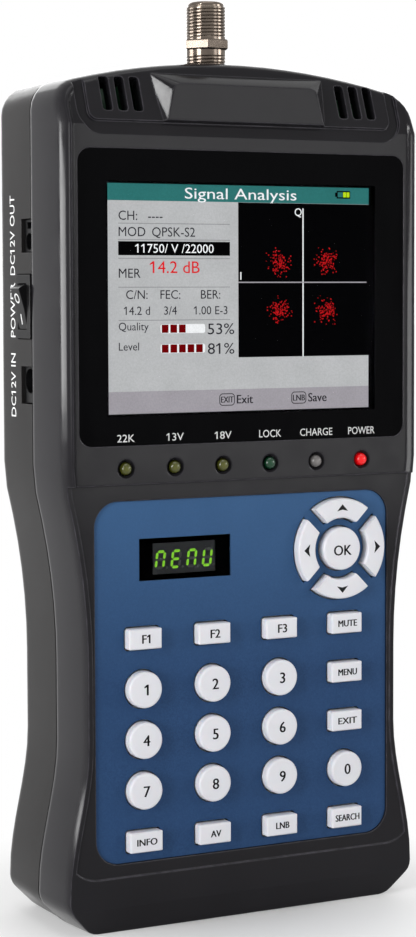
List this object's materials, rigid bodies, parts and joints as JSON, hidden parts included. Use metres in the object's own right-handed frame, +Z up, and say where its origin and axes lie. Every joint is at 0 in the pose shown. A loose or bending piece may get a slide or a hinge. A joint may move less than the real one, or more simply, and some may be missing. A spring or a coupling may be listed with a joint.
{
  "type": "satellite signal meter",
  "caption": "Handheld satellite signal meter: waisted dark housing, colour screen, lamps, blue keypad, threaded F connector on top, power jacks and rocker switch on the side.",
  "frame": {"origin": "middle of the base, on the plane that the meter stands on", "axes": "+Z up towards the F connector, -Y out of the screen and keypad, +X to the right seen from the front"},
  "size_m": [0.0974, 0.04, 0.218],
  "materials": {
    "front_case": "fine moulded grain, semi-matte",
    "rear_case": "moulded grain, matte",
    "window": "clear, printed black border",
    "screen": "lit picture",
    "overlay": "printed film, satin",
    "smoke": "smoked, clear",
    "lamp_olive": "diffused lens",
    "lamp_green": "diffused lens",
    "lamp_clear": "diffused lens",
    "lamp_red": "diffused lens, lit",
    "keys": "moulded, satin",
    "mat": "moulded",
    "board": "lacquered",
    "can": "tinned",
    "black_plastic": "moulded",
    "switch_plastic": "moulded, glossy",
    "nickel": "nickel plated",
    "white_plastic": "moulded",
    "gilt": "plated",
    "steel": "turned",
    "battery": "shrink film"
  },
  "bodies": {
    "housing": {"front_shell": "front_case", "rear_shell": "rear_case", "display_window": "window", "lcd_module": "screen", "keypad_overlay": "overlay", "segment_window": "smoke", "segment_display": "black_plastic", "lamp_1": "lamp_olive", "lamp_2": "lamp_olive", "lamp_3": "lamp_olive", "lamp_4": "lamp_green", "lamp_5": "lamp_clear", "lamp_6": "lamp_red", "keypad_mat": "mat", "keypad_board": "board", "board_screws": "steel", "main_board": "board", "tuner_can": "can", "buzzer": "black_plastic", "f_connector": "nickel", "f_insulator": "white_plastic", "f_contact": "gilt", "dc_in_jack": "black_plastic", "dc_in_pin": "steel", "dc_out_jack": "black_plastic", "dc_out_pin": "steel", "switch_housing": "switch_plastic", "battery_pack": "battery", "battery_door": "rear_case", "door_screws": "steel", "case_screws": "steel"},
    "rocker": {"switch_rocker": "switch_plastic"},
    "key_ok": {"key_ok": "keys"},
    "key_up": {"key_up": "keys"},
    "key_down": {"key_down": "keys"},
    "key_left": {"key_left": "keys"},
    "key_right": {"key_right": "keys"},
    "key_f1": {"key_f1": "keys"},
    "key_f2": {"key_f2": "keys"},
    "key_f3": {"key_f3": "keys"},
    "key_mute": {"key_mute": "keys"},
    "key_1": {"key_1": "keys"},
    "key_2": {"key_2": "keys"},
    "key_3": {"key_3": "keys"},
    "key_menu": {"key_menu": "keys"},
    "key_4": {"key_4": "keys"},
    "key_5": {"key_5": "keys"},
    "key_6": {"key_6": "keys"},
    "key_exit": {"key_exit": "keys"},
    "key_7": {"key_7": "keys"},
    "key_8": {"key_8": "keys"},
    "key_9": {"key_9": "keys"},
    "key_0": {"key_0": "keys"},
    "key_info": {"key_info": "keys"},
    "key_av": {"key_av": "keys"},
    "key_lnb": {"key_lnb": "keys"},
    "key_search": {"key_search": "keys"}
  },
  "joints": [
    {"name": "key_ok_travel", "type": "slide", "parent": "housing", "child": "key_ok", "axis": [0, 1, 0], "range_m": [0, 0.0011], "stiffness_N_per_m": 400},
    {"name": "key_up_travel", "type": "slide", "parent": "housing", "child": "key_up", "axis": [0, 1, 0], "range_m": [0, 0.0011], "stiffness_N_per_m": 400},
    {"name": "key_down_travel", "type": "slide", "parent": "housing", "child": "key_down", "axis": [0, 1, 0], "range_m": [0, 0.0011], "stiffness_N_per_m": 400},
    {"name": "key_left_travel", "type": "slide", "parent": "housing", "child": "key_left", "axis": [0, 1, 0], "range_m": [0, 0.0011], "stiffness_N_per_m": 400},
    {"name": "key_right_travel", "type": "slide", "parent": "housing", "child": "key_right", "axis": [0, 1, 0], "range_m": [0, 0.0011], "stiffness_N_per_m": 400},
    {"name": "key_f1_travel", "type": "slide", "parent": "housing", "child": "key_f1", "axis": [0, 1, 0], "range_m": [0, 0.0011], "stiffness_N_per_m": 400},
    {"name": "key_f2_travel", "type": "slide", "parent": "housing", "child": "key_f2", "axis": [0, 1, 0], "range_m": [0, 0.0011], "stiffness_N_per_m": 400},
    {"name": "key_f3_travel", "type": "slide", "parent": "housing", "child": "key_f3", "axis": [0, 1, 0], "range_m": [0, 0.0011], "stiffness_N_per_m": 400},
    {"name": "key_mute_travel", "type": "slide", "parent": "housing", "child": "key_mute", "axis": [0, 1, 0], "range_m": [0, 0.0011], "stiffness_N_per_m": 400},
    {"name": "key_1_travel", "type": "slide", "parent": "housing", "child": "key_1", "axis": [0, 1, 0], "range_m": [0, 0.0011], "stiffness_N_per_m": 400},
    {"name": "key_2_travel", "type": "slide", "parent": "housing", "child": "key_2", "axis": [0, 1, 0], "range_m": [0, 0.0011], "stiffness_N_per_m": 400},
    {"name": "key_3_travel", "type": "slide", "parent": "housing", "child": "key_3", "axis": [0, 1, 0], "range_m": [0, 0.0011], "stiffness_N_per_m": 400},
    {"name": "key_menu_travel", "type": "slide", "parent": "housing", "child": "key_menu", "axis": [0, 1, 0], "range_m": [0, 0.0011], "stiffness_N_per_m": 400},
    {"name": "key_4_travel", "type": "slide", "parent": "housing", "child": "key_4", "axis": [0, 1, 0], "range_m": [0, 0.0011], "stiffness_N_per_m": 400},
    {"name": "key_5_travel", "type": "slide", "parent": "housing", "child": "key_5", "axis": [0, 1, 0], "range_m": [0, 0.0011], "stiffness_N_per_m": 400},
    {"name": "key_6_travel", "type": "slide", "parent": "housing", "child": "key_6", "axis": [0, 1, 0], "range_m": [0, 0.0011], "stiffness_N_per_m": 400},
    {"name": "key_exit_travel", "type": "slide", "parent": "housing", "child": "key_exit", "axis": [0, 1, 0], "range_m": [0, 0.0011], "stiffness_N_per_m": 400},
    {"name": "key_7_travel", "type": "slide", "parent": "housing", "child": "key_7", "axis": [0, 1, 0], "range_m": [0, 0.0011], "stiffness_N_per_m": 400},
    {"name": "key_8_travel", "type": "slide", "parent": "housing", "child": "key_8", "axis": [0, 1, 0], "range_m": [0, 0.0011], "stiffness_N_per_m": 400},
    {"name": "key_9_travel", "type": "slide", "parent": "housing", "child": "key_9", "axis": [0, 1, 0], "range_m": [0, 0.0011], "stiffness_N_per_m": 400},
    {"name": "key_0_travel", "type": "slide", "parent": "housing", "child": "key_0", "axis": [0, 1, 0], "range_m": [0, 0.0011], "stiffness_N_per_m": 400},
    {"name": "key_info_travel", "type": "slide", "parent": "housing", "child": "key_info", "axis": [0, 1, 0], "range_m": [0, 0.0011], "stiffness_N_per_m": 400},
    {"name": "key_av_travel", "type": "slide", "parent": "housing", "child": "key_av", "axis": [0, 1, 0], "range_m": [0, 0.0011], "stiffness_N_per_m": 400},
    {"name": "key_lnb_travel", "type": "slide", "parent": "housing", "child": "key_lnb", "axis": [0, 1, 0], "range_m": [0, 0.0011], "stiffness_N_per_m": 400},
    {"name": "key_search_travel", "type": "slide", "parent": "housing", "child": "key_search", "axis": [0, 1, 0], "range_m": [0, 0.0011], "stiffness_N_per_m": 400},
    {"name": "rocker_pivot", "type": "hinge", "parent": "housing", "child": "rocker", "pos_m": [-0.04615, 0.0036, 0.1456], "axis": [0, 1, 0], "range_deg": [0, 26]}
  ]
}
